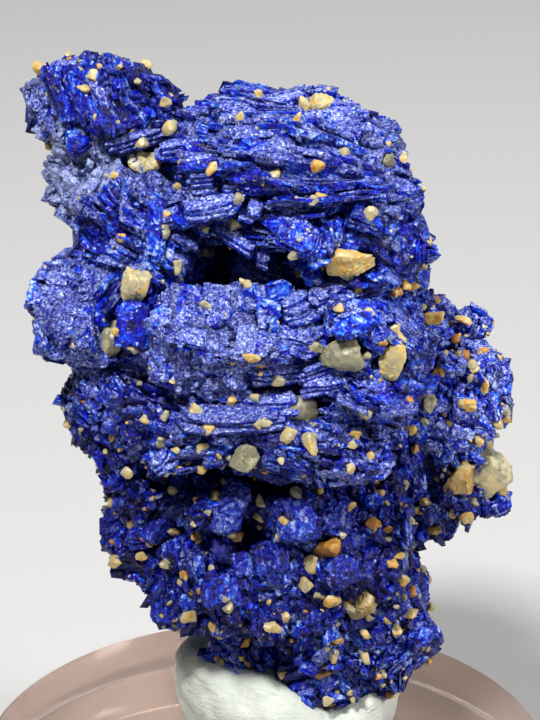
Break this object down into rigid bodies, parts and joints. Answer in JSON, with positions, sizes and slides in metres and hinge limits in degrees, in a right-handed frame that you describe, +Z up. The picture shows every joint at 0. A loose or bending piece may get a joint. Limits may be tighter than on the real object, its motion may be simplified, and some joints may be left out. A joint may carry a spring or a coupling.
{
  "type": "azurite specimen",
  "caption": "Cluster of layered deep blue azurite crystals with quartz sand caught in it, held upright by white putty on a clear display round.",
  "frame": {"origin": "centre of the display round's underside", "axes": "+Z up along the specimen, -Y towards the viewer of its best face, +X to that viewer's right"},
  "size_m": [0.0254, 0.0254, 0.0378],
  "materials": {
    "azurite": "deep blue crystals, glassy on their faces and frosted on the ledges",
    "quartz": "cream to amber sand grains, slightly see-through",
    "putty": "matte white mounting putty with finger marks",
    "clear_acrylic": "polished clear acrylic"
  },
  "bodies": {
    "root": {"azurite_cluster": "azurite", "putty": "putty", "display_round": "clear_acrylic", "quartz_grain_right_tip": "quartz", "quartz_grain_right_tip_small": "quartz", "quartz_grain_shoulder": "quartz", "quartz_grain_left_upper": "quartz", "quartz_grain_left_lower": "quartz", "quartz_grain_middle": "quartz", "quartz_grain_middle_right": "quartz", "quartz_grain_belt": "quartz", "quartz_grain_waist": "quartz", "quartz_grain_foot": "quartz", "quartz_grain_body": "quartz", "quartz_grain_crown": "quartz", "quartz_grain_crown_left": "quartz", "quartz_grain_back": "quartz", "quartz_grain_back_low": "quartz"}
  },
  "joints": []
}
